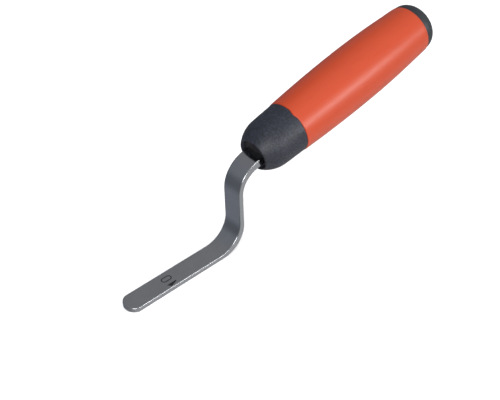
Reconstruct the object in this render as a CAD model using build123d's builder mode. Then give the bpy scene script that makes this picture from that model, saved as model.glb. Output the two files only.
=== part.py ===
"""Brick jointer: a cranked steel strip in a round two-colour plastic handle.

Millimetres. The origin is the middle of the flat working face, on the underside of the blade.
+X runs from the blade's tip to the butt of the handle, +Z is up and +Y is across the strip.
"""

import os

from build123d import *

# ---------------------------------------------------------------- steel strip
strip_width = 10.0
strip_thickness = 2.4
flat_length = 49.3  # tip to the start of the lower bend, on the top face
tip_radius_over_half_width = 0.3  # so the tip keeps two soft corners
edge_round = 0.45
riser_angle = 92.0
riser_length = 14.2
lower_bend_face_radius = 11.9
lower_bend_back_radius = 12.5
upper_bend_face_radius = 13.8
upper_bend_back_radius = 10.0
shank_thickness = 3.9  # the steel is left thicker where it enters the handle
handle_angle = 12.1
shank_to_mouth = 1.9  # end of the upper bend to the rim of the nose
axis_below_shank_face = 0.8

# size number stamped in the top face
number_from_tip = 22.8
number_off_middle = 1.05  # towards -Y
number_height = 5.2
number_width = 2.9
number_spacing = 3.5
number_stroke = 0.45
number_depth = 0.25

# hidden tang
tang_width = 7.4
tang_length = 56.0
tang_neck_offset = 3.0  # full width of strip kept inside the core
barb_depth = 1.2
barb_length = 3.0
barb_pitch = 12.0
barb_count = 3
tang_hole_radius = 1.6
tang_hole_from_end = 6.0

# ---------------------------------------------------------------- handle
mouth_radius = 7.3
mouth_lip = 0.5
mouth_depth = 1.6  # from the rim to the face of the core, which the strip comes out of
throat_depth = 6.0  # of the narrow throat in the nose that holds the boss of the core
throat_draft = 0.3
crown_length = 10.0
crown_radius = 11.75  # outside of the nose where its crown ends
nose_rear_radius = 12.2
nose_length = 21.5

grip_length = 82.2
grip_front_radius = 12.4
grip_belly_radius = 13.65
grip_belly_from_nose = 43.0
grip_rear_radius = 12.1
grip_edge_round = 0.35
grip_tab_width = 5.0  # low tab that reaches over the nose and stops it from turning
grip_tab_length = 0.5
grip_tab_height = 2.0
grip_tab_angle = 27.0  # round the handle, from the top towards -Y

cap_length = 7.4
cap_front_radius = 11.8
cap_corner_radius = 5.5
cap_wall = 2.6

# ---------------------------------------------------------------- hidden core
core_radius = 9.4
core_bore_radius = 5.6
core_bore_depth = 34.0
rib_count = 4
rib_width = 2.6
rib_height = 0.9
rib_end_gap = 6.0
plug_length = 14.0
plug_wall = 1.8
bead_height = 0.5
bead_width = 2.0
nose_bead_from_rear = 4.0
plug_bead_from_end = 3.0
fit_gap = 0.03  # between round faces that are moulded or pressed together

# ---------------------------------------------------------------- places along the handle
grip_start = nose_length
grip_end = grip_start + grip_length
butt_end = grip_end + cap_length
rib_start = grip_start + rib_end_gap
rib_length = grip_length - 2 * rib_end_gap
shank_length = shank_to_mouth + throat_depth + tang_length
tip_x = -flat_length / 2
tip_radius = strip_width / 2 + tip_radius_over_half_width

os.makedirs("parts", exist_ok=True)


# ---------------------------------------------------------------- side outline of the strip
def meeting_point(point_a, direction_a, point_b, direction_b):
    """Where two straight lines of a flat drawing meet."""
    turn = direction_a.cross(direction_b).Z
    return point_a + direction_a * ((point_b - point_a).cross(direction_b).Z / turn)


# drawn flat, x to the butt and y up, and laid in the XZ plane where it is used
with BuildLine() as side_outline:
    flat_face = Line((tip_x, strip_thickness), (-tip_x, strip_thickness))
    lower_bend = JernArc(flat_face @ 1, flat_face % 1, lower_bend_face_radius, riser_angle)
    riser_face = Line(lower_bend @ 1, lower_bend @ 1 + (lower_bend % 1) * riser_length)
    upper_bend = JernArc(riser_face @ 1, riser_face % 1, upper_bend_face_radius, handle_angle - riser_angle)
    shank_face = Line(upper_bend @ 1, upper_bend @ 1 + (upper_bend % 1) * shank_length)
    below_shank = (shank_face % 1).rotate(Axis.Z, -90)

    tip_bottom = Vector(tip_x, 0)
    riser_back = riser_face @ 0 + (riser_face % 1).rotate(Axis.Z, -90) * strip_thickness
    shank_back_end = shank_face @ 1 + below_shank * shank_thickness
    lower_corner = meeting_point(tip_bottom, flat_face % 1, riser_back, riser_face % 1)
    upper_corner = meeting_point(riser_back, riser_face % 1, shank_back_end, shank_face % 1)
    back_radii = (lower_bend_back_radius, upper_bend_back_radius)
    FilletPolyline(tip_bottom, lower_corner, upper_corner, shank_back_end, radius=back_radii)
    Line(tip_bottom, flat_face @ 0)
    Line(shank_back_end, shank_face @ 1)
    mouth_point = shank_face @ 0 + (shank_face % 1) * shank_to_mouth + below_shank * axis_below_shank_face

mouth_centre = Plane.XZ.from_local_coords(mouth_point)
handle_direction = Plane.XZ.from_local_coords(shank_face % 1)
up_from_handle = Plane.XZ.from_local_coords(-below_shank)
handle_axis = Axis(mouth_centre, handle_direction)

# side_plane cuts the handle lengthwise: x along the handle from the mouth, y outwards
side_plane = Plane(origin=mouth_centre, x_dir=handle_direction, z_dir=(0, -1, 0))
# tang_plane holds the handle's axis: x along the handle from the mouth, y across the strip
tang_plane = Plane(origin=mouth_centre, x_dir=handle_direction, z_dir=up_from_handle)


def cross_plane(distance):
    """Plane square to the handle, this far behind the mouth; x points up, y towards -Y."""
    return Plane(
        origin=mouth_centre + handle_direction * distance,
        x_dir=up_from_handle,
        z_dir=handle_direction,
    )


# ---------------------------------------------------------------- blade, shank and tang: one steel strip
tang_start = throat_depth + tang_neck_offset
tang_end = throat_depth + tang_length
side_cut = (strip_width - tang_width) / 2
top_face = Plane.XY.offset(strip_thickness)
number_x = tip_x + number_from_tip

with BuildPart() as blade:
    with BuildSketch(Plane.XZ):
        add(side_outline.line)
        make_face()
    extrude(amount=strip_width / 2, both=True)

    # rounded tip: all that lies ahead of the arc is cut away
    with BuildSketch(Plane.XY):
        with Locations((tip_x, 0)):
            Rectangle(2 * tip_radius, 2 * strip_width)
        with Locations((tip_x + tip_radius, 0)):
            Circle(tip_radius, mode=Mode.SUBTRACT)
            Rectangle(2 * tip_radius, 2 * strip_width, align=(Align.MIN, Align.CENTER), mode=Mode.SUBTRACT)
    extrude(amount=strip_thickness, mode=Mode.SUBTRACT)

    # eased edges along both sides and round the tip
    along_sides = blade.faces().filter_by(Axis.Y).edges()
    round_tip = blade.edges().filter_by(GeomType.CIRCLE).group_by(Axis.X)[0]
    long_edges = along_sides.filter_by(lambda edge: edge.length > 2 * strip_thickness)
    fillet(long_edges + round_tip, edge_round)

    # tang: narrower than the strip, with barbs along both edges and a hole that the core fills
    with BuildSketch(tang_plane):
        for side in (-1, 1):
            with Locations((tang_start, side * strip_width / 2)):
                cut_align = (Align.MIN, Align.MAX if side > 0 else Align.MIN)
                Rectangle(tang_length, side_cut, align=cut_align)
            for barb in range(barb_count):
                barb_x = tang_start + barb_pitch * (barb + 0.5)
                barb_y = side * tang_width / 2
                with BuildLine():
                    Polyline(
                        (barb_x, barb_y),
                        (barb_x + barb_length, barb_y),
                        (barb_x + barb_length, barb_y - side * barb_depth),
                        close=True,
                    )
                make_face()
        with Locations((tang_end - tang_hole_from_end, 0)):
            Circle(tang_hole_radius)
    extrude(amount=shank_thickness, both=True, mode=Mode.SUBTRACT)

    # the stamped number reads across the strip, with its top towards the tip
    with BuildSketch(top_face):
        with Locations((number_x, number_spacing / 2 - number_off_middle)):
            SlotOverall(number_height, number_width)
            SlotOverall(number_height - 2 * number_stroke, number_width - 2 * number_stroke, mode=Mode.SUBTRACT)
        one_y = -number_spacing / 2 - number_off_middle
        with Locations((number_x, one_y)):
            Rectangle(number_height, number_stroke)
        flag_end = (number_x - number_height / 2 + number_width / 2, one_y - number_width / 2)
        with BuildLine():
            flag_start = (number_x - number_height / 2, one_y)
            Polyline(
                flag_start,
                (flag_start[0], one_y + number_stroke / 2),
                (flag_end[0] + number_stroke, flag_end[1]),
                flag_end,
                close=True,
            )
        make_face()
    extrude(amount=-number_depth, mode=Mode.SUBTRACT)

blade.part.label = "blade"
export_step(blade.part, "parts/blade.step")

# ---------------------------------------------------------------- core: hard plastic moulded round the tang
nose_bead_x = grip_start - nose_bead_from_rear
plug_bead_x = grip_end - plug_length + plug_bead_from_end
throat_radius = mouth_radius - throat_draft

with BuildPart() as handle_core:
    with BuildSketch(side_plane):
        with BuildLine():
            Polyline(
                (mouth_depth, 0),
                (mouth_depth, throat_radius - fit_gap),
                (throat_depth, throat_radius - fit_gap),
                (throat_depth, core_radius),
                (nose_bead_x - bead_width / 2, core_radius),
                (nose_bead_x, core_radius - bead_height),
                (nose_bead_x + bead_width / 2, core_radius),
                (grip_end, core_radius),
                (grip_end, core_bore_radius),
                (plug_bead_x + bead_width / 2, core_bore_radius),
                (plug_bead_x, core_bore_radius + bead_height),
                (plug_bead_x - bead_width / 2, core_bore_radius),
                (grip_end - core_bore_depth, core_bore_radius),
                (grip_end - core_bore_depth, 0),
                close=True,
            )
        make_face()
    revolve(axis=handle_axis)

    # ribs that keep the grip from turning
    with BuildSketch(cross_plane(rib_start)):
        with PolarLocations(core_radius, rib_count):
            Rectangle(2 * rib_height, rib_width)
    extrude(amount=rib_length)
    add(blade.part, mode=Mode.SUBTRACT)

handle_core.part.label = "handle_core"
export_step(handle_core.part, "parts/handle_core.step")

# ---------------------------------------------------------------- nose: matt black collar with an open mouth
core_hole = core_radius + fit_gap
rim_radius = mouth_radius + mouth_lip
tab_foot = grip_front_radius - grip_tab_height
side_slope = (nose_rear_radius - crown_radius) / (nose_length - crown_length)

with BuildPart() as nose_collar:
    with BuildSketch(side_plane):
        with BuildLine():
            crown = TangentArc((crown_length, crown_radius), (0, rim_radius), tangent=(-1, -side_slope))
            Polyline(
                crown @ 1,
                (0, mouth_radius),
                (throat_depth, throat_radius),
                (throat_depth, core_hole),
                (nose_bead_x - bead_width / 2, core_hole),
                (nose_bead_x, core_hole - bead_height),
                (nose_bead_x + bead_width / 2, core_hole),
                (nose_length, core_hole),
                (nose_length, nose_rear_radius),
                crown @ 0,
            )
        make_face()
    revolve(axis=handle_axis)

    # notch in the rear edge for the tab of the grip
    with BuildSketch(cross_plane(nose_length)):
        with PolarLocations(tab_foot - fit_gap, 1, start_angle=grip_tab_angle):
            Rectangle(nose_rear_radius, grip_tab_width + 2 * fit_gap, align=(Align.MIN, Align.CENTER))
    extrude(amount=-(grip_tab_length + fit_gap), mode=Mode.SUBTRACT)

nose_collar.part.label = "nose_collar"
export_step(nose_collar.part, "parts/nose_collar.step")

# ---------------------------------------------------------------- grip: red sleeve with a long belly
belly_x = grip_start + grip_belly_from_nose

with BuildPart() as grip_sleeve:
    with BuildSketch(side_plane):
        with BuildLine():
            front = TangentArc((belly_x, grip_belly_radius), (grip_start, grip_front_radius), tangent=(-1, 0))
            rear = TangentArc((belly_x, grip_belly_radius), (grip_end, grip_rear_radius), tangent=(1, 0))
            Polyline(front @ 1, (grip_start, core_hole), (grip_end, core_hole), rear @ 1)
        make_face()
    revolve(axis=handle_axis)
    outer_rims = grip_sleeve.edges().filter_by(
        lambda edge: edge.geom_type == GeomType.CIRCLE and abs(edge.radius - core_hole) > 1
    )
    end_rims = outer_rims.filter_by(lambda edge: abs(edge.radius - grip_belly_radius) > edge_round)
    fillet(end_rims, grip_edge_round)

    # grooves for the ribs of the core
    with BuildSketch(cross_plane(rib_start - fit_gap)):
        with PolarLocations(core_radius, rib_count):
            Rectangle(2 * (rib_height + fit_gap), rib_width + 2 * fit_gap)
    extrude(amount=rib_length + 2 * fit_gap, mode=Mode.SUBTRACT)

    # tab on the front edge
    with BuildSketch(cross_plane(grip_start)):
        with PolarLocations(tab_foot, 1, start_angle=grip_tab_angle):
            Rectangle(grip_front_radius, grip_tab_width, align=(Align.MIN, Align.CENTER))
        Circle(grip_front_radius - grip_edge_round, mode=Mode.INTERSECT)
    extrude(amount=-grip_tab_length)

grip_sleeve.part.label = "grip_sleeve"
export_step(grip_sleeve.part, "parts/grip_sleeve.step")

# ---------------------------------------------------------------- end cap: rounded black cap with a plug
plug_radius = core_bore_radius - fit_gap
plug_inner_radius = plug_radius - plug_wall
plug_start = grip_end - plug_length
dome_start = butt_end - cap_corner_radius

with BuildPart() as end_cap:
    with BuildSketch(side_plane):
        with BuildLine():
            dome = TangentArc(
                (dome_start, cap_front_radius),
                (butt_end, cap_front_radius - cap_corner_radius),
                tangent=(1, 0),
            )
            Polyline(
                dome @ 1,
                (butt_end, 0),
                (butt_end - cap_wall, 0),
                (butt_end - cap_wall, plug_inner_radius),
                (plug_start, plug_inner_radius),
                (plug_start, plug_radius),
                (plug_bead_x - bead_width / 2, plug_radius),
                (plug_bead_x, plug_radius + bead_height),
                (plug_bead_x + bead_width / 2, plug_radius),
                (grip_end, plug_radius),
                (grip_end, cap_front_radius),
                dome @ 0,
            )
        make_face()
    revolve(axis=handle_axis)

end_cap.part.label = "end_cap"
export_step(end_cap.part, "parts/end_cap.step")
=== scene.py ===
# %% [markdown]
# # A brick jointer with a two-colour handle
# A jointer smooths the wet mortar between bricks. It is one flat strip of steel, bent twice so that
# the hand stays clear of the wall, and held in a round plastic handle.
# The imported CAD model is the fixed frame: it says how big every part is and where it sits.
# Each part that shows is modelled again here with finer edges, and then given its finish.

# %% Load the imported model
import math

import bmesh
import bpy
from mathutils import Matrix, Vector, geometry, noise


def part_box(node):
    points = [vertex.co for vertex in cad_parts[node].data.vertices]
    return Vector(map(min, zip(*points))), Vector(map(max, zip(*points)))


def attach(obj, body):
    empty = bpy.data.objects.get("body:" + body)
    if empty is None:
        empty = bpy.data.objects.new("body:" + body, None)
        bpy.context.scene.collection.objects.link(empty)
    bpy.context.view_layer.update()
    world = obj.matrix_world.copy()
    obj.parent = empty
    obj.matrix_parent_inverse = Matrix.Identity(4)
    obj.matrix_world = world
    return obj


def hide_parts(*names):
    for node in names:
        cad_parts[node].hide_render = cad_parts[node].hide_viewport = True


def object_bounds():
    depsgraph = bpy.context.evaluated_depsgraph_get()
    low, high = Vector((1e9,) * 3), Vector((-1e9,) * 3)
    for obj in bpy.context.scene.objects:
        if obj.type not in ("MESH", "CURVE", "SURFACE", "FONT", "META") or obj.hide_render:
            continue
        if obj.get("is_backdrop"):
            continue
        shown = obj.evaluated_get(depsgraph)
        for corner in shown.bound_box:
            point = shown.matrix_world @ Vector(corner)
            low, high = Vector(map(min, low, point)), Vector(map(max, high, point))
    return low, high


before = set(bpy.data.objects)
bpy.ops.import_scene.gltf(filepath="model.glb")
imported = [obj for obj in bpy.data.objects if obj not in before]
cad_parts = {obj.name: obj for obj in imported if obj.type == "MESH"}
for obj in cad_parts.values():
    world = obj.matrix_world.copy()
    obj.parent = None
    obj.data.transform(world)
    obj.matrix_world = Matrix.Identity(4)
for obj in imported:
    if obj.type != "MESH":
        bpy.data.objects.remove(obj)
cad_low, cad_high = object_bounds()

print("CAD parts:", sorted(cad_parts))
print("CAD box in metres:", [round(side, 4) for side in cad_high - cad_low])

# %% [markdown]
# ## Sizes
# A maker works from a few driving sizes. They are in millimetres and are turned into metres once,
# by `mm`. Distances along the handle are counted from the rim of its mouth. The strip starts at the
# low corner of the CAD blade's box, so nothing is placed by eye.

# %% Driving sizes
mm = 0.001

strip_width = 10.0 * mm
strip_thickness = 2.4 * mm
shank_thickness = 3.9 * mm
flat_length = 49.3 * mm
riser_length = 14.2 * mm
shank_to_mouth = 1.9 * mm
axis_below_shank_face = 0.8 * mm
riser_angle = math.radians(92.0)
handle_angle = math.radians(12.1)
face_radii = (11.9 * mm, 13.8 * mm)
back_radii = (12.5 * mm, 10.0 * mm)
tip_radius = 5.3 * mm
edge_round = 0.45 * mm

throat_depth = 6.0 * mm
nose_length = 21.5 * mm
grip_length = 82.2 * mm
cap_length = 7.4 * mm
core_hole_radius = 9.43 * mm
tang_length = 56.0 * mm

grip_end = nose_length + grip_length
butt_end = grip_end + cap_length

blade_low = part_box("blade")[0]
tip = Vector((blade_low.x, 0, blade_low.z))
print("handle length in mm:", round(butt_end / mm, 1))

# %% [markdown]
# ## Directions
# The strip is drawn in its side view: +X runs towards the handle and +Z is up. The riser stands a
# little past upright and the handle slopes up gently, so both directions are +X turned by an angle.


# %% Directions of the riser and the handle
def sloping_up(angle):
    """+X, turned up in the side view."""
    return Matrix.Rotation(-angle, 3, "Y") @ Vector((1, 0, 0))


forward = sloping_up(0)
riser_direction = sloping_up(riser_angle)
handle_direction = sloping_up(handle_angle)
across = Vector((0, 1, 0))
up_from_handle = handle_direction.cross(across)
print("handle direction:", [round(value, 3) for value in handle_direction])


# %% [markdown]
# ## Drawing with edges
# A turned or bent part starts as a thin line of edges. Straight runs are extruded from the last
# vertex piece by piece, and round runs are spun from it, so every arc is a true arc.


# %% Helpers that draw edges
def add_line(shape, vert, end, pieces=1):
    """A straight run of edges from a vertex to a point. Returns its last vertex."""
    start = vert.co.copy()
    for piece in range(1, pieces + 1):
        vert = bmesh.ops.extrude_vert_indiv(shape, verts=[vert])["verts"][0]
        vert.co = start.lerp(end, piece / pieces)
    return vert


def add_arc(shape, vert, end, tangent, pieces):
    """The arc that leaves a vertex along the tangent and ends at a point. Returns its last vertex."""
    chord = end - vert.co
    sideways = chord - chord.project(tangent)
    centre = vert.co + sideways * (chord.length_squared / (2 * sideways.length_squared))
    spun = bmesh.ops.spin(
        shape,
        geom=[vert],
        cent=centre,
        axis=tangent.cross(chord).normalized(),
        angle=2 * tangent.angle(chord),
        steps=pieces,
        use_duplicate=False,
    )
    last = next(item for item in spun["geom_last"] if isinstance(item, bmesh.types.BMVert))
    print("  arc closes within mm:", round((last.co - end).length / mm, 5))
    last.co = end
    return last


def add_rounded_line(shape, points, radii, line_pieces, arc_pieces):
    """A chain through the points whose inner corners are rounded. Returns its edges."""
    before = set(shape.edges)
    vert = shape.verts.new(points[0])
    for corner, after, radius, pieces in zip(points[1:-1], points[2:], radii, line_pieces):
        leg_in = (corner - vert.co).normalized()
        leg_out = (after - corner).normalized()
        setback = radius * math.tan(leg_in.angle(leg_out) / 2)
        vert = add_line(shape, vert, corner - leg_in * setback, pieces)
        vert = add_arc(shape, vert, corner + leg_out * setback, leg_in, arc_pieces)
    add_line(shape, vert, points[-1], line_pieces[-1])
    return [edge for edge in shape.edges if edge not in before]


# %% [markdown]
# ## From a bmesh to a piece
# Doubles are merged and the faces are turned outwards. Faces are smooth, and an edge sharper than
# 35 degrees stays crisp. A weighted normal modifier keeps the wide flats flat beside narrow rounds.


# %% Helper that finishes a piece
crisp_angle = math.radians(35)
merge_distance = 0.002 * mm


def finish_piece(name, shape):
    """Makes the bmesh an object of the scene, with clean normals."""
    bmesh.ops.remove_doubles(shape, verts=shape.verts, dist=merge_distance)
    bmesh.ops.recalc_face_normals(shape, faces=shape.faces)
    for face in shape.faces:
        face.smooth = True
    for edge in shape.edges:
        edge.smooth = edge.calc_face_angle(0) < crisp_angle
    open_edges = sum(not edge.is_manifold for edge in shape.edges)
    mesh = bpy.data.meshes.new(name)
    shape.to_mesh(mesh)
    shape.free()
    piece = bpy.data.objects.new(name, mesh)
    bpy.context.scene.collection.objects.link(piece)
    mesh.calc_loop_triangles()
    print(name, "triangles:", len(mesh.loop_triangles), "open edges:", open_edges)
    return piece


def even_shading(piece):
    """Weights the normals by area, so that flats stay flat beside narrow rounds."""
    weighted = piece.modifiers.new("even shading", "WEIGHTED_NORMAL")
    weighted.keep_sharp = True


# %% [markdown]
# ## The steel strip
# The real blade is cut from flat bar, bent twice while hot and then tumbled, which rounds its edges.
# The side view gives it best: one line for the working face and one for the back, each with two
# rounded corners. Bridging the two lines makes a thin ribbon, and extruding the ribbon across gives
# the strip. The back has its own radii, because the bar is thicker at the bends and in the shank.

# %% Side lines of the strip
shank_length = shank_to_mouth + throat_depth + tang_length
strip_up = Vector((0, 0, strip_thickness))
bend_turns = (riser_angle, riser_angle - handle_angle)
setbacks = [radius * math.tan(turn / 2) for radius, turn in zip(face_radii, bend_turns)]

face_start = tip + strip_up
face_corner_low = face_start + forward * (flat_length + setbacks[0])
face_corner_high = face_corner_low + riser_direction * (sum(setbacks) + riser_length)
shank_start = face_corner_high + handle_direction * setbacks[1]
face_end = shank_start + handle_direction * shank_length
mouth = shank_start + handle_direction * shank_to_mouth - up_from_handle * axis_below_shank_face

riser_back_point = face_corner_low + across.cross(riser_direction) * strip_thickness
shank_back_end = face_end - up_from_handle * shank_thickness


def crossing(point_a, direction_a, point_b, direction_b):
    """Where two straight lines of the side view cross."""
    ends = (point_a, point_a + direction_a, point_b, point_b + direction_b)
    return geometry.intersect_line_line(*ends)[0]


back_corner_low = crossing(tip, forward, riser_back_point, riser_direction)
back_corner_high = crossing(riser_back_point, riser_direction, shank_back_end, handle_direction)
print("mouth centre in mm:", [round(value / mm, 2) for value in mouth])

# %% Ribbon, strip and rounded tip
flat_pieces, riser_pieces, tang_pieces = 12, 5, 12
bend_pieces = 24
columns = 16
side_shift = Vector((0, -strip_width / 2, 0))

strip = bmesh.new()
side_lines = []
for points, radii in (
    ((face_start, face_corner_low, face_corner_high, face_end), face_radii),
    ((tip, back_corner_low, back_corner_high, shank_back_end), back_radii),
):
    placed = [point + side_shift for point in points]
    pieces = (flat_pieces, riser_pieces, tang_pieces)
    side_lines.append(add_rounded_line(strip, placed, radii, pieces, bend_pieces))

bmesh.ops.bridge_loops(strip, edges=side_lines[0] + side_lines[1])
widened = bmesh.ops.extrude_face_region(strip, geom=strip.faces[:])
moved = [item for item in widened["geom"] if isinstance(item, bmesh.types.BMVert)]
bmesh.ops.translate(strip, verts=moved, vec=(0, strip_width, 0))
rungs = [edge for edge in strip.edges if abs(edge.verts[0].co.y - edge.verts[1].co.y) > mm]
bmesh.ops.subdivide_edges(strip, edges=rungs, cuts=columns - 1, use_grid_fill=True)

for vert in strip.verts:
    if vert.co.x < tip.x + merge_distance:
        vert.co.x = tip.x + tip_radius - math.sqrt(tip_radius**2 - vert.co.y**2)

bmesh.ops.recalc_face_normals(strip, faces=strip.faces)
print("strip faces before easing the edges:", len(strip.faces))

# %% [markdown]
# ## Eased edges
# Tumbling leaves a small round of about 0.45 mm on every long edge. It catches the light as a thin
# bright line, so it is real geometry: every right-angled edge is bevelled except at the hidden end.

# %% Ease the long edges and the tip
square_angle = math.radians(60)
ease_segments = 3


def behind_mouth(point):
    """Distance along the handle from the rim of its mouth."""
    return (point - mouth).dot(handle_direction)


eased = [
    edge
    for edge in strip.edges
    if edge.calc_face_angle(0) > square_angle
    and min(behind_mouth(vert.co) for vert in edge.verts) < throat_depth + tang_length - mm
]
bmesh.ops.bevel(
    strip,
    geom=eased,
    offset=edge_round,
    affect="EDGES",
    segments=ease_segments,
    profile=0.5,
    material=-1,
    clamp_overlap=True,
)
blade = finish_piece("blade_strip", strip)

# %% [markdown]
# ## Cutters: the stamped number and the tang
# A size number is stamped in the top face, reading across the strip with its top towards the tip.
# The hidden tang is narrower than the strip and has barbs and a hole that lock it into the handle.
# Each cut is a small solid of its own, taken away with a boolean: a stamp does the same to steel.

# %% Helpers for the cutters
number_depth = 0.25 * mm
number_height = 5.2 * mm
number_width = 2.9 * mm
number_stroke = 0.45 * mm
number_spacing = 3.5 * mm
number_from_tip = 22.8 * mm
number_off_middle = 1.05 * mm
cut_clearance = 0.5 * mm
circle_segments = 32

cutters = []


def keep_cutter(name, shape, depth_vector):
    """Extrudes a flat outline into a closed cutter."""
    block = bmesh.ops.extrude_face_region(shape, geom=shape.faces[:])
    moved = [item for item in block["geom"] if isinstance(item, bmesh.types.BMVert)]
    bmesh.ops.translate(shape, verts=moved, vec=depth_vector)
    cutters.append(finish_piece(name, shape))


def stadium(shape, centre, length, width):
    """A flat loop with two round ends, long in X."""
    ring = bmesh.ops.create_circle(shape, segments=circle_segments, radius=width / 2)["verts"]
    for vert in ring:
        vert.co.x += math.copysign((length - width) / 2, vert.co.x)
    bmesh.ops.translate(shape, verts=ring, vec=centre)
    return list({edge for vert in ring for edge in vert.link_edges})


# %% Cut the number "10"
number_floor = tip + strip_up + Vector((number_from_tip, -number_off_middle, -number_depth))
cut_up = Vector((0, 0, number_depth + cut_clearance))

zero = bmesh.new()
zero_centre = number_floor + across * number_spacing / 2
hollow_height = number_height - 2 * number_stroke
hollow_width = number_width - 2 * number_stroke
outer = stadium(zero, zero_centre, number_height, number_width)
inner = stadium(zero, zero_centre, hollow_height, hollow_width)
bmesh.ops.bridge_loops(zero, edges=outer + inner)
keep_cutter("cut_zero", zero, cut_up)

one = bmesh.new()
bar_top = number_floor - across * number_spacing / 2 - forward * number_height / 2
half_stroke = across * number_stroke / 2
bar_right = bar_top + half_stroke
bar_foot = forward * number_height
flag_tip = bar_top + forward * number_width / 2 - across * number_width / 2
flag_inset = 1.5 * number_stroke
corners = [
    bar_right,
    bar_right + bar_foot,
    bar_top - half_stroke + bar_foot,
    bar_top - half_stroke + forward * flag_inset,
    flag_tip + forward * number_stroke,
    flag_tip,
]
bmesh.ops.contextual_create(one, geom=[one.verts.new(corner) for corner in corners])
keep_cutter("cut_one", one, cut_up)
print("number cutters:", [cutter.name for cutter in cutters])

# %% Cut the tang to its width, with barbs and a hole
tang_width = 7.4 * mm
tang_neck = 3.0 * mm
barb_depth = 1.2 * mm
barb_length = 3.0 * mm
barb_pitch = 12.0 * mm
barb_count = 3
tang_hole_radius = 1.6 * mm
tang_hole_from_end = 6.0 * mm
tang_start = throat_depth + tang_neck
tang_end = throat_depth + tang_length
cut_reach = 2 * shank_thickness
cut_base = mouth - up_from_handle * cut_reach
cut_through = up_from_handle * 2 * cut_reach

for side in (-1, 1):
    rail = bmesh.new()
    outline = [
        (tang_end + cut_clearance, strip_width),
        (tang_start, strip_width),
        (tang_start, tang_width / 2),
    ]
    for barb in range(barb_count):
        barb_x = tang_start + barb_pitch * (barb + 0.5)
        outline.append((barb_x, tang_width / 2))
        outline.append((barb_x + barb_length, tang_width / 2 - barb_depth))
        outline.append((barb_x + barb_length, tang_width / 2))
    outline.append((tang_end + cut_clearance, tang_width / 2))
    points = [cut_base + handle_direction * along + across * side * out for along, out in outline]
    bmesh.ops.contextual_create(rail, geom=[rail.verts.new(point) for point in points])
    keep_cutter(f"cut_rail_{side + 1}", rail, cut_through)

hole = bmesh.new()
hole_turn = up_from_handle.to_track_quat("Z", "X").to_matrix().to_4x4()
hole_place = Matrix.Translation(cut_base + handle_direction * (tang_end - tang_hole_from_end))
bmesh.ops.create_circle(
    hole,
    segments=circle_segments,
    radius=tang_hole_radius,
    cap_ends=True,
    matrix=hole_place @ hole_turn,
)
keep_cutter("cut_hole", hole, cut_through)

# %% Take the cutters away
for cutter in cutters:
    cut = blade.modifiers.new(cutter.name, "BOOLEAN")
    cut.operation = "DIFFERENCE"
    cut.solver = "EXACT"
    cut.object = cutter
graph = bpy.context.evaluated_depsgraph_get()
cut_mesh = bpy.data.meshes.new_from_object(blade.evaluated_get(graph))
blade.modifiers.clear()
blade.data = cut_mesh
for cutter in cutters:
    bpy.data.objects.remove(cutter)

crisp = bmesh.new()
crisp.from_mesh(cut_mesh)
bmesh.ops.remove_doubles(crisp, verts=crisp.verts, dist=merge_distance)
for face in crisp.faces:
    face.smooth = True
for edge in crisp.edges:
    edge.smooth = edge.calc_face_angle(0) < crisp_angle
print("blade after the cuts, open edges:", sum(not edge.is_manifold for edge in crisp.edges))
crisp.to_mesh(cut_mesh)
crisp.free()
cut_mesh.name = "blade_strip"
even_shading(blade)

# %% [markdown]
# ## A map for the grain of the steel
# The grain follows the strip round both bends, which plain object coordinates can't do. A UV map
# unrolls the strip instead: U is the distance along its working face and V is the distance across
# it, both in millimetres. On the narrow sides V grows with the height instead.


# %% Unroll the strip
def smooth_step(low, high, value):
    """0 below low, 1 above high and an even S between them."""
    share = min(1.0, max(0.0, (value - low) / (high - low)))
    return share * share * (3 - 2 * share)


bend_centre_low = tip + strip_up + forward * flat_length + Vector((0, 0, face_radii[0]))
bend_length_low = face_radii[0] * riser_angle


def unrolled(point):
    """Distance along the working face, in millimetres."""
    flat = Vector((point.x, 0, point.z))
    if flat.x < tip.x + flat_length:
        return (flat.x - tip.x) / mm
    from_low = flat - bend_centre_low
    turned = math.atan2(from_low.x, -from_low.z)
    if turned < riser_angle and flat.z < bend_centre_low.z:
        return (flat_length + face_radii[0] * turned) / mm
    if (flat - shank_start).dot(handle_direction) > 0:
        before = flat_length + bend_length_low + riser_length + face_radii[1] * bend_turns[1]
        return (before + (flat - shank_start).dot(handle_direction)) / mm
    return (flat_length + bend_length_low + (flat - bend_centre_low).dot(riser_direction)) / mm


grain_map = blade.data.uv_layers.new(name="unrolled")
for face in blade.data.polygons:
    for corner in face.loop_indices:
        point = blade.data.vertices[blade.data.loops[corner].vertex_index].co
        up_side = abs(face.normal.y) * point.z / mm
        grain_map.data[corner].uv = (unrolled(point), point.y / mm + up_side)
print("unrolled length in mm:", round(max(unrolled(vert.co) for vert in blade.data.vertices), 1))

# %% [markdown]
# ## Turned pieces
# The nose, the grip and the cap are all round, so each is half a section spun about the handle's
# axis. A point of a section is given by its distance behind the mouth and its radius.


# %% Helpers for turned pieces
def on_section(along, radius):
    """A point of the section above the handle's axis."""
    return mouth + handle_direction * along + up_from_handle * radius


def spin_section(shape, steps):
    """Spins the section once round the handle."""
    bmesh.ops.spin(
        shape,
        geom=shape.verts[:] + shape.edges[:],
        cent=mouth,
        axis=handle_direction,
        angle=2 * math.pi,
        steps=steps,
        use_merge=True,
        use_duplicate=False,
    )
    bmesh.ops.remove_doubles(shape, verts=shape.verts, dist=merge_distance)
    bmesh.ops.recalc_face_normals(shape, faces=shape.faces)


def radial(point):
    """The part of a point that is square to the handle's axis."""
    out = point - mouth
    return out - out.project(handle_direction)


def turn_to_near_side(point):
    """Angle round the handle in degrees, from the top towards -Y."""
    out = radial(point)
    return math.degrees(math.atan2(-out.dot(across), out.dot(up_from_handle)))


# %% [markdown]
# ## The joint between nose and grip
# The two plastics are moulded one after the other. Their joint has one low wave, where a tab of the
# grip reaches over the nose and stops it from turning. Both pieces bend their edge by the same wave,
# so the joint stays shut.

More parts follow.
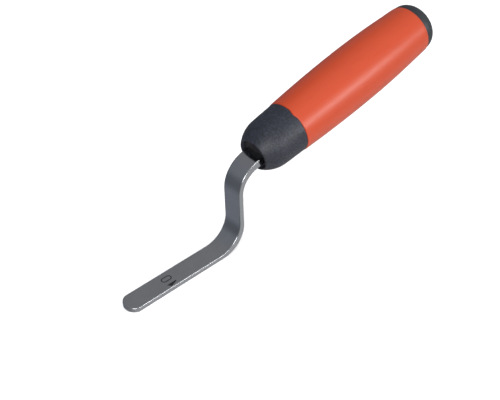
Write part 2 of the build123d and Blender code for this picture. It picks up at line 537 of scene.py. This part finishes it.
# %% The wave of the joint
wave_centre = 27.0
wave_half_width = 15.0
wave_height = 0.6 * mm
wave_reach = 1.6 * mm


def bend_joint(shape):
    """Moves what lies near the joint towards the mouth, by the wave."""
    for vert in shape.verts:
        round_share = abs(turn_to_near_side(vert.co) - wave_centre) / wave_half_width
        along_share = abs(behind_mouth(vert.co) - nose_length) / wave_reach
        if round_share < 1 and along_share < 1 and radial(vert.co).length > core_hole_radius + mm:
            fade = smooth_step(0, 1, 1 - round_share) * smooth_step(0, 1, 1 - along_share)
            vert.co -= handle_direction * wave_height * fade


# %% [markdown]
# ## The nose
# The nose is a black collar with a crowned front and an open mouth for the strip. Its mould was
# spark-eroded, which leaves a leathery relief a few hundredths of a millimetre deep. The relief
# breaks the light into specks, so the mesh is fine enough to carry the coarse part of it.

# %% Section of the nose
mouth_radius = 7.3 * mm
mouth_lip = 0.5 * mm
lip_round = 0.22 * mm
throat_draft = 0.3 * mm
crown_length = 10.0 * mm
crown_radius = 11.75 * mm
nose_rear_radius = 12.2 * mm
rear_edge_round = 0.25 * mm
crown_pieces = 44
side_pieces = 40
throat_pieces = 12
face_pieces = 4
round_pieces = 5
nose_steps = 272

rim_radius = mouth_radius + mouth_lip
crown_stop = lip_round * 0.3
crown_end = on_section(crown_length, crown_radius)
side_direction = (crown_end - on_section(nose_length, nose_rear_radius)).normalized()

nose = bmesh.new()
start = nose.verts.new(on_section(nose_length, core_hole_radius))
vert = add_line(nose, start, on_section(nose_length, nose_rear_radius - rear_edge_round), face_pieces)
rear_shoulder = on_section(nose_length, nose_rear_radius) + side_direction * rear_edge_round
vert = add_arc(nose, vert, rear_shoulder, up_from_handle, round_pieces)
vert = add_line(nose, vert, crown_end, side_pieces)
vert = add_arc(nose, vert, on_section(crown_stop, rim_radius), side_direction, crown_pieces)
inward = (on_section(0, 0) - on_section(0, 1)).normalized()
lip_tangent = inward - handle_direction
vert = add_arc(nose, vert, on_section(0, rim_radius - lip_round), lip_tangent, round_pieces)
vert = add_line(nose, vert, on_section(0, mouth_radius + lip_round / 2))
vert = add_arc(nose, vert, on_section(lip_round / 2, mouth_radius), inward, round_pieces)
vert = add_line(nose, vert, on_section(throat_depth, mouth_radius - throat_draft), throat_pieces)
vert = add_line(nose, vert, on_section(throat_depth, core_hole_radius), face_pieces - 1)
nose.edges.new((vert, start))
spin_section(nose, nose_steps)
bend_joint(nose)

# %% Leathery relief of the nose
relief_depth = 0.035 * mm
relief_size = 0.9 * mm
relief_margin = 0.6 * mm
relief_roughness, relief_gap, relief_octaves = 1.0, 2.0, 3


def leather_relief(shape, depth, size):
    """Pushes the outer skin in and out by fractal noise, less beside its edges."""
    shape.normal_update()
    skin = [vert for vert in shape.verts if radial(vert.co).length > rim_radius - lip_round / 2]
    moves = []
    for vert in skin:
        along = behind_mouth(vert.co)
        from_rear = nose_length - along
        clear = smooth_step(0, relief_margin, along) * smooth_step(0, relief_margin, from_rear)
        wave = noise.fractal(
            vert.co / size,
            relief_roughness,
            relief_gap,
            relief_octaves,
            noise_basis="PERLIN_ORIGINAL",
        )
        moves.append(vert.normal * wave * depth * clear)
    for vert, move in zip(skin, moves):
        vert.co += move


leather_relief(nose, relief_depth, relief_size)
nose_collar = finish_piece("nose_shell", nose)

# %% [markdown]
# ## The grip
# The grip is a red sleeve over the core. Its side swells to a long belly, so the section starts at
# the belly and runs both ways with a level tangent. It flares again just before the cap.

# %% Section of the grip
grip_front_radius = 12.4 * mm
grip_belly_radius = 13.64 * mm
grip_belly = nose_length + 43.0 * mm
grip_rear_radius = 12.0 * mm
grip_edge_round = 0.35 * mm
flare_length = 9.0 * mm
flare_height = 0.15 * mm
front_pieces = 36
rear_pieces = 40
bore_pieces = 8
grip_steps = 192

sleeve = bmesh.new()
belly = sleeve.verts.new(on_section(grip_belly, grip_belly_radius))
front_shoulder = on_section(nose_length + grip_edge_round, grip_front_radius)
vert = add_arc(sleeve, belly, front_shoulder, -handle_direction, front_pieces)
front_face_top = on_section(nose_length, grip_front_radius - grip_edge_round)
vert = add_arc(sleeve, vert, front_face_top, -handle_direction, round_pieces)
front_foot = add_line(sleeve, vert, on_section(nose_length, core_hole_radius), face_pieces - 1)
rear_shoulder = on_section(grip_end - grip_edge_round, grip_rear_radius)
vert = add_arc(sleeve, belly, rear_shoulder, handle_direction, rear_pieces)
rear_face_top = on_section(grip_end, grip_rear_radius - grip_edge_round)
vert = add_arc(sleeve, vert, rear_face_top, handle_direction, round_pieces)
vert = add_line(sleeve, vert, on_section(grip_end, core_hole_radius))
rear_foot = add_line(sleeve, vert, on_section(nose_length + mm, core_hole_radius), bore_pieces)
sleeve.edges.new((rear_foot, front_foot))
spin_section(sleeve, grip_steps)
bend_joint(sleeve)

for vert in sleeve.verts:
    out = radial(vert.co)
    if out.length > core_hole_radius + mm:
        flare = smooth_step(grip_end - flare_length, grip_end - mm, behind_mouth(vert.co))
        vert.co += out.normalized() * flare_height * flare
grip_sleeve = finish_piece("grip_shell", sleeve)

# %% [markdown]
# ## The end cap
# The cap closes the handle. Its plug presses into the bore of the core, so only the short side and
# the dome show. The dome's end is crowned a little, as moulders do to hide sink marks.

# %% Section of the cap
cap_front_radius = 11.8 * mm
cap_corner_radius = 5.5 * mm
cap_crown = 0.35 * mm
cap_edge_round = 0.25 * mm
cap_wall = 2.6 * mm
plug_radius = 5.57 * mm
plug_wall = 1.8 * mm
plug_length = 14.0 * mm
dome_pieces = 10
corner_pieces = 20
cap_side_pieces = 3
plug_pieces = 6
cap_steps = 160

dome_start = butt_end - cap_corner_radius
dome_end_radius = cap_front_radius - cap_corner_radius

cap = bmesh.new()
pole = cap.verts.new(on_section(butt_end + cap_crown, 0))
outward = -inward
vert = add_arc(cap, pole, on_section(butt_end, dome_end_radius), outward, dome_pieces)
corner_end = on_section(dome_start, cap_front_radius)
corner_tangent = (outward - handle_direction * 2 * cap_crown / dome_end_radius).normalized()
vert = add_arc(cap, vert, corner_end, corner_tangent, corner_pieces)
vert = add_line(cap, vert, on_section(grip_end + cap_edge_round, cap_front_radius), cap_side_pieces)
front_face_top = on_section(grip_end, cap_front_radius - cap_edge_round)
vert = add_arc(cap, vert, front_face_top, -handle_direction, round_pieces)
vert = add_line(cap, vert, on_section(grip_end, plug_radius), cap_side_pieces)
vert = add_line(cap, vert, on_section(grip_end - plug_length, plug_radius), plug_pieces)
vert = add_line(cap, vert, on_section(grip_end - plug_length, plug_radius - plug_wall))
vert = add_line(cap, vert, on_section(butt_end - cap_wall, plug_radius - plug_wall), plug_pieces)
vert = add_line(cap, vert, on_section(butt_end - cap_wall, 0))
spin_section(cap, cap_steps)
end_cap = finish_piece("cap_shell", cap)

# %% [markdown]
# ## Tie the pieces to the frame
# A tool with no moving part has one body, root, and every piece rides on it. Each new piece stands
# for its CAD part, which is then not shown, and the table also gives the name of its finish.

# %% Ride and replace
stand_ins = (
    (blade, "blade", "steel"),
    (nose_collar, "nose_collar", "nose_plastic"),
    (grip_sleeve, "grip_sleeve", "grip_plastic"),
    (end_cap, "end_cap", "cap_plastic"),
)
for piece, node, slot_name in stand_ins:
    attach(piece, "root")
    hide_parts(node)
    node_low, node_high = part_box(node)
    corners = [vert.co for vert in piece.data.vertices]
    low = [min(corner[axis] for corner in corners) - node_low[axis] for axis in range(3)]
    high = [max(corner[axis] for corner in corners) - node_high[axis] for axis in range(3)]
    print(piece.name, "box minus CAD box, mm:", [round(gap / mm, 2) for gap in low + high])

# %% [markdown]
# ## Colour and node helpers
# Colours are written as the sRGB hex values that paint and plastic makers use, and one function
# turns them into the linear values that the shader needs. Another adds a node with its settings.
# All the black and red mouldings share one index of refraction. A noise texture mostly stays between
# `noise_low` and `noise_high`, so roughness is spread over that range.


# %% Colour and node helpers
plastic_ior = 1.49
noise_low, noise_high = 0.3, 0.7


def colour(code):
    """An sRGB hex value as a linear colour: the curve has a straight foot and then a power."""
    linear = []
    for place in (0, 2, 4):
        value = int(code[place : place + 2], 16) / 255
        linear.append(value / 12.92 if value <= 0.04045 else ((value + 0.055) / 1.055) ** 2.4)
    return (*linear, 1.0)


def add_node(tree, kind, settings=None, links=None):
    """Adds one node. Settings are properties or input values, links are outputs by input name."""
    node = tree.nodes.new(kind)
    for name, value in (settings or {}).items():
        if isinstance(name, str) and hasattr(node, name):
            setattr(node, name, value)
        else:
            node.inputs[name].default_value = value
    for name, output in (links or {}).items():
        tree.links.new(output, node.inputs[name])
    return node


def new_material(name):
    """An empty material with an output. Returns it, its tree and its output node."""
    material = bpy.data.materials.new(name)
    material.use_nodes = True
    tree = material.node_tree
    tree.nodes.clear()
    return material, tree, tree.nodes.new("ShaderNodeOutputMaterial")


def wear(piece, material):
    """Gives a whole piece one material."""
    piece.data.materials.clear()
    piece.data.materials.append(material)


# %% [markdown]
# ## Finish of the strip: tumbled bright steel
# Plain carbon steel that was ground along its length and then tumbled. The eye sees a soft grey
# metal with blurred reflections, faint lines along the strip, and cloudy patches where the tumbling
# stones rubbed more. Grinding lines are really 0.05 mm apart, too fine to show, so they are drawn
# 0.25 mm apart. Pattern sizes are in millimetres, and bumps have a strength and a depth.

# %% Tumbled bright steel
line_spacing = 0.25
line_stretch = 40.0
patch_size = 7.0
pit_size = 0.35
line_strength, line_depth = 0.12, 0.02 * mm
pit_strength, pit_depth = 0.10, 0.03 * mm
steel_roughness = (0.15, 0.22)

steel, tree, output = new_material("tumbled_bright_steel")
strip_map = add_node(tree, "ShaderNodeUVMap", {"uv_map": "unrolled"})
line_space = add_node(
    tree,
    "ShaderNodeMapping",
    {"Scale": (1 / (line_spacing * line_stretch), 1 / line_spacing, 1.0)},
    {"Vector": strip_map.outputs["UV"]},
)
lines = add_node(
    tree,
    "ShaderNodeTexNoise",
    {"Scale": 1.0, "Detail": 3.0},
    {"Vector": line_space.outputs["Vector"]},
)
body_space = add_node(tree, "ShaderNodeTexCoord")
patches = add_node(
    tree,
    "ShaderNodeTexNoise",
    {"Scale": 1 / (patch_size * mm), "Detail": 4.0, "Roughness": 0.6},
    {"Vector": body_space.outputs["Object"]},
)
pits = add_node(
    tree,
    "ShaderNodeTexNoise",
    {"Scale": 1 / (pit_size * mm), "Detail": 2.0},
    {"Vector": body_space.outputs["Object"]},
)
steel_tone = add_node(
    tree,
    "ShaderNodeMix",
    {"data_type": "RGBA", "A": colour("95979B"), "B": colour("A3A4A7")},
    {"Factor": patches.outputs["Fac"]},
)
steel_rough = add_node(
    tree,
    "ShaderNodeMapRange",
    {
        "From Min": noise_low,
        "From Max": noise_high,
        "To Min": steel_roughness[0],
        "To Max": steel_roughness[1],
    },
    {"Value": patches.outputs["Fac"]},
)
line_bump = add_node(
    tree,
    "ShaderNodeBump",
    {"Strength": line_strength, "Distance": line_depth},
    {"Height": lines.outputs["Fac"]},
)
pit_bump = add_node(
    tree,
    "ShaderNodeBump",
    {"Strength": pit_strength, "Distance": pit_depth},
    {"Height": pits.outputs["Fac"], "Normal": line_bump.outputs["Normal"]},
)
steel_shader = add_node(
    tree,
    "ShaderNodeBsdfPrincipled",
    {"Metallic": 1.0},
    {
        "Base Color": steel_tone.outputs["Result"],
        "Roughness": steel_rough.outputs["Result"],
        "Normal": pit_bump.outputs["Normal"],
    },
)
tree.links.new(steel_shader.outputs["BSDF"], output.inputs["Surface"])
wear(blade, steel)
print("steel nodes:", len(tree.nodes))

# %% [markdown]
# ## Inside the number: scale left by the stamp
# The number is stamped while the bar still has its black scale. Tumbling polishes the face but
# doesn't reach the strokes, so their floor and walls stay dark and dull.

# %% Dark scale in the number
scale_cloud = 0.6
scale_roughness = 0.6

scale, tree, output = new_material("black_scale_in_stamp")
body_space = add_node(tree, "ShaderNodeTexCoord")
cloud = add_node(
    tree,
    "ShaderNodeTexNoise",
    {"Scale": 1 / (scale_cloud * mm), "Detail": 3.0},
    {"Vector": body_space.outputs["Object"]},
)
scale_tone = add_node(
    tree,
    "ShaderNodeMix",
    {"data_type": "RGBA", "A": colour("08090B"), "B": colour("141519")},
    {"Factor": cloud.outputs["Fac"]},
)
scale_shader = add_node(
    tree,
    "ShaderNodeBsdfPrincipled",
    {"Roughness": scale_roughness},
    {"Base Color": scale_tone.outputs["Result"]},
)
tree.links.new(scale_shader.outputs["BSDF"], output.inputs["Surface"])
blade.data.materials.append(scale)

scale_slot = 1
stamped = 0
for face in blade.data.polygons:
    below_face = tip.z + strip_thickness - face.center.z
    along_strip = abs(face.center.x - number_floor.x)
    inside = abs(face.center.y - number_floor.y) < number_spacing and along_strip < number_height
    if inside and number_depth / 4 < below_face < 2 * number_depth:
        face.material_index = scale_slot
        stamped += 1
print("faces in the number:", stamped)

# %% [markdown]
# ## Finish of the nose: spark-textured black plastic
# Black polypropylene from a spark-eroded mould. The mould's tiny craters make it matt, and the lit
# side looks dusted with pale specks, because each small slope returns the light on its own. The
# relief of the mesh gives the coarse part, and the bump adds grains of about 0.4 mm.

# %% Spark-textured black plastic
grain_size = 0.42
speck_size = 0.8
speck_strength, speck_depth = 0.9, 0.12 * mm
grain_strength, grain_depth = 0.35, 0.08 * mm
nose_roughness = (0.58, 0.42)
nose_stops = ((0.38, "090B13"), (0.68, "242734"))

spark_black, tree, output = new_material("spark_textured_black_plastic")
body_space = add_node(tree, "ShaderNodeTexCoord")
grain = add_node(
    tree,
    "ShaderNodeTexVoronoi",
    {"Scale": 1 / (grain_size * mm), "Randomness": 1.0},
    {"Vector": body_space.outputs["Object"]},
)
specks = add_node(
    tree,
    "ShaderNodeTexNoise",
    {"Scale": 1 / (speck_size * mm), "Detail": 5.0, "Roughness": 0.7},
    {"Vector": body_space.outputs["Object"]},
)
nose_tone = add_node(tree, "ShaderNodeValToRGB", {}, {"Fac": specks.outputs["Fac"]})
for element, (position, tone) in zip(nose_tone.color_ramp.elements, nose_stops):
    element.position = position
    element.color = colour(tone)
nose_rough = add_node(
    tree,
    "ShaderNodeMapRange",
    {
        "From Min": noise_low,
        "From Max": noise_high,
        "To Min": nose_roughness[0],
        "To Max": nose_roughness[1],
    },
    {"Value": specks.outputs["Fac"]},
)
speck_bump = add_node(
    tree,
    "ShaderNodeBump",
    {"Strength": speck_strength, "Distance": speck_depth},
    {"Height": specks.outputs["Fac"]},
)
grain_bump = add_node(
    tree,
    "ShaderNodeBump",
    {"Strength": grain_strength, "Distance": grain_depth},
    {"Height": grain.outputs["Distance"], "Normal": speck_bump.outputs["Normal"]},
)
nose_shader = add_node(
    tree,
    "ShaderNodeBsdfPrincipled",
    {"IOR": plastic_ior},
    {
        "Base Color": nose_tone.outputs["Color"],
        "Roughness": nose_rough.outputs["Result"],
        "Normal": grain_bump.outputs["Normal"],
    },
)
tree.links.new(nose_shader.outputs["BSDF"], output.inputs["Surface"])
wear(nose_collar, spark_black)

# %% [markdown]
# ## Finish of the throat: black plastic painted lighter
# The throat wall wears a greyer copy of the black plastic. The grey is painted light: it stands for
# the light that falls on the wall through the mouth, so the wall reads as a grey band beside the
# black core.

# %% Black plastic of the throat, painted lighter
throat_mottle_size = 1.5
throat_roughness = 0.5

painted_lit_black, tree, output = new_material("painted_lit_black_plastic")
body_space = add_node(tree, "ShaderNodeTexCoord")
throat_mottle = add_node(
    tree,
    "ShaderNodeTexNoise",
    {"Scale": 1 / (throat_mottle_size * mm), "Detail": 3.0},
    {"Vector": body_space.outputs["Object"]},
)
# The two greys paint the light on the throat wall; the noise only mottles them.
throat_tone = add_node(
    tree,
    "ShaderNodeMix",
    {"data_type": "RGBA", "A": colour("262830"), "B": colour("363943")},
    {"Factor": throat_mottle.outputs["Fac"]},
)
throat_shader = add_node(
    tree,
    "ShaderNodeBsdfPrincipled",
    {"IOR": plastic_ior, "Roughness": throat_roughness},
    {"Base Color": throat_tone.outputs["Result"]},
)
tree.links.new(throat_shader.outputs["BSDF"], output.inputs["Surface"])
nose_collar.data.materials.append(painted_lit_black)
# Faces inside the mouth behind the lip wear the lighter copy: painted light on the throat wall.
throat_slot = 1
for face in nose_collar.data.polygons:
    if radial(face.center).length < mouth_radius and behind_mouth(face.center) > lip_round:
        face.material_index = throat_slot

# %% [markdown]
# ## Finish of the grip: satin red plastic
# Coloured polypropylene from a vapour-blasted mould: an orange-red with a soft, broad highlight.
# The skin is very slightly uneven, like the peel of an orange, and melt that flowed along the sleeve
# left the faintest streaks.

# %% Satin red plastic
peel_size = 2.2
streak_width = 3.0
streak_stretch = 12.0
peel_strength, peel_depth = 0.08, 0.05 * mm
red_roughness = (0.36, 0.42)

satin_red, tree, output = new_material("satin_red_plastic")
body_space = add_node(tree, "ShaderNodeTexCoord")
streak_scale = 1 / (streak_width * mm)
lay_along = add_node(
    tree,
    "ShaderNodeMapping",
    {
        "Rotation": (0.0, handle_angle, 0.0),
        "Scale": (streak_scale / streak_stretch, streak_scale, streak_scale),
    },
    {"Vector": body_space.outputs["Object"]},
)
streaks = add_node(
    tree,
    "ShaderNodeTexNoise",
    {"Scale": 1.0, "Detail": 3.0},
    {"Vector": lay_along.outputs["Vector"]},
)
peel = add_node(
    tree,
    "ShaderNodeTexNoise",
    {"Scale": 1 / (peel_size * mm), "Detail": 3.0},
    {"Vector": body_space.outputs["Object"]},
)
red_tone = add_node(
    tree,
    "ShaderNodeMix",
    {"data_type": "RGBA", "A": colour("982E09"), "B": colour("9E340E")},
    {"Factor": streaks.outputs["Fac"]},
)
red_rough = add_node(
    tree,
    "ShaderNodeMapRange",
    {
        "From Min": noise_low,
        "From Max": noise_high,
        "To Min": red_roughness[0],
        "To Max": red_roughness[1],
    },
    {"Value": peel.outputs["Fac"]},
)
peel_bump = add_node(
    tree,
    "ShaderNodeBump",
    {"Strength": peel_strength, "Distance": peel_depth},
    {"Height": peel.outputs["Fac"]},
)
red_shader = add_node(
    tree,
    "ShaderNodeBsdfPrincipled",
    {"IOR": plastic_ior},
    {
        "Base Color": red_tone.outputs["Result"],
        "Roughness": red_rough.outputs["Result"],
        "Normal": peel_bump.outputs["Normal"],
    },
)
tree.links.new(red_shader.outputs["BSDF"], output.inputs["Surface"])
wear(grip_sleeve, satin_red)

# %% [markdown]
# ## Finish of the cap: fine matt black plastic
# The same black plastic as the nose, from a mould that was only fine-blasted. It looks smoother and
# a little bluer, with grains of about 0.2 mm that are drawn at 0.5 mm to show at all.

# %% Fine matt black plastic
cap_grain_size = 0.5
cap_grain_strength, cap_grain_depth = 0.2, 0.04 * mm
cap_roughness = 0.5

matt_black, tree, output = new_material("fine_matt_black_plastic")
body_space = add_node(tree, "ShaderNodeTexCoord")
cap_grain = add_node(
    tree,
    "ShaderNodeTexNoise",
    {"Scale": 1 / (cap_grain_size * mm), "Detail": 3.0},
    {"Vector": body_space.outputs["Object"]},
)
cap_tone = add_node(
    tree,
    "ShaderNodeMix",
    {"data_type": "RGBA", "A": colour("14171C"), "B": colour("1C2026")},
    {"Factor": cap_grain.outputs["Fac"]},
)
cap_bump = add_node(
    tree,
    "ShaderNodeBump",
    {"Strength": cap_grain_strength, "Distance": cap_grain_depth},
    {"Height": cap_grain.outputs["Fac"]},
)
cap_shader = add_node(
    tree,
    "ShaderNodeBsdfPrincipled",
    {"IOR": plastic_ior, "Roughness": cap_roughness},
    {"Base Color": cap_tone.outputs["Result"], "Normal": cap_bump.outputs["Normal"]},
)
tree.links.new(cap_shader.outputs["BSDF"], output.inputs["Surface"])
wear(end_cap, matt_black)

# %% [markdown]
# ## Finish of the core: glass-filled nylon
# The hidden core keeps its CAD mesh. Short glass fibres come to the skin of such nylon as slightly
# paler hairs about 0.3 mm long, and make it dull. It only shows at the bottom of the mouth.

# %% Glass-filled nylon
fibre_length = 0.3
fibre_curl = 1.5
fibre_strength, fibre_depth = 0.3, 0.03 * mm
nylon_ior = 1.53
nylon_roughness = 0.6

glass_nylon, tree, output = new_material("glass_filled_nylon")
body_space = add_node(tree, "ShaderNodeTexCoord")
fibres = add_node(
    tree,
    "ShaderNodeTexNoise",
    {"Scale": 1 / (fibre_length * mm), "Detail": 2.0, "Distortion": fibre_curl},
    {"Vector": body_space.outputs["Object"]},
)
core_tone = add_node(
    tree,
    "ShaderNodeMix",
    {"data_type": "RGBA", "A": colour("08080B"), "B": colour("101014")},
    {"Factor": fibres.outputs["Fac"]},
)
core_bump = add_node(
    tree,
    "ShaderNodeBump",
    {"Strength": fibre_strength, "Distance": fibre_depth},
    {"Height": fibres.outputs["Fac"]},
)
core_shader = add_node(
    tree,
    "ShaderNodeBsdfPrincipled",
    {"IOR": nylon_ior, "Roughness": nylon_roughness},
    {"Base Color": core_tone.outputs["Result"], "Normal": core_bump.outputs["Normal"]},
)
tree.links.new(core_shader.outputs["BSDF"], output.inputs["Surface"])
wear(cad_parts["handle_core"], glass_nylon)

# %% [markdown]
# ## The studio
# The tool lies on white paper. The floor is a wide sheet just under the strip, which is the lowest
# part. Reflections leave the floor out, so that the steel shows the room on every side.

# %% Floor
floor_half = 3.0
floor_gap = 0.05 * mm
paper_fibres_per_metre = 900.0
paper_roughness = 0.9

sheet = bmesh.new()
bmesh.ops.create_grid(sheet, x_segments=2, y_segments=2, size=floor_half)
bmesh.ops.translate(sheet, verts=sheet.verts, vec=(0, 0, cad_low.z - floor_gap))
floor = finish_piece("paper_floor", sheet)

paper, tree, output = new_material("white_backdrop_paper")
body_space = add_node(tree, "ShaderNodeTexCoord")
fibre = add_node(
    tree,
    "ShaderNodeTexNoise",
    {"Scale": paper_fibres_per_metre, "Detail": 2.0},
    {"Vector": body_space.outputs["Object"]},
)
paper_tone = add_node(
    tree,
    "ShaderNodeMix",
    {"data_type": "RGBA", "A": colour("F4F4F4"), "B": colour("F8F8F8")},
    {"Factor": fibre.outputs["Fac"]},
)
paper_shader = add_node(
    tree,
    "ShaderNodeBsdfPrincipled",
    {"Roughness": paper_roughness},
    {"Base Color": paper_tone.outputs["Result"]},
)
tree.links.new(paper_shader.outputs["BSDF"], output.inputs["Surface"])
wear(floor, paper)
floor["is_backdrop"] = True
floor.visible_glossy = False

# %% [markdown]
# ## The room
# The steel shows the room, so the world is a room with a bright side at -Y and a dim side at +Y. It
# dips a little in a band near the horizon, and its dim side is bluer.

# %% World: a room with a bright side and a dim side
bright_side = Vector((0.20, -0.95, 0.10)).normalized()
dim_level = 0.42
bright_level = 0.86
dim_edge, bright_edge = -0.35, 0.75
blue_edge, neutral_edge = -0.75, -0.4
horizon_share = 0.62
horizon_low, horizon_high = 0.10, 0.55
horizon_height = -0.12

room = bpy.data.worlds.new("studio_room")
bpy.context.scene.world = room
room.use_nodes = True
tree = room.node_tree
tree.nodes.clear()
looking = add_node(tree, "ShaderNodeTexCoord")
towards_bright = add_node(
    tree,
    "ShaderNodeVectorMath",
    {"operation": "DOT_PRODUCT", 1: bright_side},
    {0: looking.outputs["Generated"]},
)
level = add_node(
    tree,
    "ShaderNodeMapRange",
    {
        "interpolation_type": "SMOOTHSTEP",
        "From Min": dim_edge,
        "From Max": bright_edge,
        "To Min": dim_level,
        "To Max": bright_level,
    },
    {"Value": towards_bright.outputs["Value"]},
)
height = add_node(tree, "ShaderNodeSeparateXYZ", {}, {"Vector": looking.outputs["Generated"]})
from_horizon = add_node(
    tree, "ShaderNodeMath", {"operation": "SUBTRACT", 1: horizon_height}, {0: height.outputs["Z"]}
)
off_horizon = add_node(
    tree, "ShaderNodeMath", {"operation": "ABSOLUTE"}, {0: from_horizon.outputs["Value"]}
)
horizon = add_node(
    tree,
    "ShaderNodeMapRange",
    {
        "interpolation_type": "SMOOTHSTEP",
        "From Min": horizon_low,
        "From Max": horizon_high,
        "To Min": horizon_share,
        "To Max": 1.0,
    },
    {"Value": off_horizon.outputs["Value"]},
)
strength = add_node(
    tree,
    "ShaderNodeMath",
    {"operation": "MULTIPLY"},
    {0: level.outputs["Result"], 1: horizon.outputs["Result"]},
)
neutral_side = add_node(
    tree,
    "ShaderNodeMapRange",
    {"From Min": blue_edge, "From Max": neutral_edge},
    {"Value": towards_bright.outputs["Value"]},
)
room_tone = add_node(
    tree,
    "ShaderNodeMix",
    {"data_type": "RGBA", "A": colour("E9F0FF"), "B": colour("FDFEFF")},
    {"Factor": neutral_side.outputs["Result"]},
)
background = add_node(
    tree,
    "ShaderNodeBackground",
    {},
    {"Color": room_tone.outputs["Result"], "Strength": strength.outputs["Value"]},
)
add_node(tree, "ShaderNodeOutputWorld", {}, {"Surface": background.outputs["Background"]})

# %% [markdown]
# ## Lights
# A long softbox lights the near side of the handle, and a second one the crown of the nose and the
# eased edges. A wide panel overhead fills the floor and the shadows without showing in the steel.


# %% Softboxes
def add_softbox(name, direction, distance, size, power, in_reflections=True):
    """A rectangular softbox that faces the middle of the tool."""
    light = bpy.data.lights.new(name, "AREA")
    light.shape = "RECTANGLE"
    light.size, light.size_y = size
    light.energy = power
    lamp = bpy.data.objects.new(name, light)
    bpy.context.scene.collection.objects.link(lamp)
    aim = (cad_low + cad_high) / 2
    lamp.location = aim + Vector(direction).normalized() * distance
    lamp.rotation_euler = (aim - lamp.location).to_track_quat("-Z", "Y").to_euler()
    lamp.visible_glossy = in_reflections
    return lamp


add_softbox("side_softbox", direction=(0.35, -0.90, 0.30), distance=0.8, size=(0.55, 0.16), power=3.0)
add_softbox("tip_softbox", direction=(-0.63, -0.60, 0.35), distance=0.8, size=(0.40, 0.30), power=4.0)
add_softbox(
    "overhead_fill",
    direction=(0.0, -0.10, 1.0),
    distance=1.2,
    size=(1.6, 1.6),
    power=16.0,
    in_reflections=False,
)

# %% [markdown]
# ## The camera
# The camera stands level, 38 degrees above the floor, and looks from beside the tip towards the
# handle. A 72 mm lens keeps the long handle in proportion.

# %% Camera
camera_from_tip = Vector((-168.4, -249.97, 294.45)) * mm
camera_azimuth = math.radians(-43.848)
camera_elevation = math.radians(38.483)
lens_length = 72.0
film_width = 36.0

camera = bpy.data.cameras.new("camera")
camera.lens = lens_length
camera.sensor_width = film_width
camera.clip_start = 10 * mm
camera.clip_end = 20.0
viewpoint = bpy.data.objects.new("camera", camera)
bpy.context.scene.collection.objects.link(viewpoint)
viewpoint.location = Vector((tip.x, 0, tip.z)) + camera_from_tip
viewpoint.rotation_euler = (math.pi / 2 - camera_elevation, 0.0, camera_azimuth)
bpy.context.scene.camera = viewpoint
bpy.context.scene.view_settings.view_transform = "Standard"

# %% [markdown]
# ## The size against the CAD model
# The box of the visible tool is printed as its difference from the CAD model's box, in millimetres.

# %% Print the difference of the boxes
low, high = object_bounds()
gaps = [(seen - cad) / mm for seen, cad in zip([*low, *high], [*cad_low, *cad_high])]
print("visual box minus CAD box, mm:", [round(gap, 3) for gap in gaps])
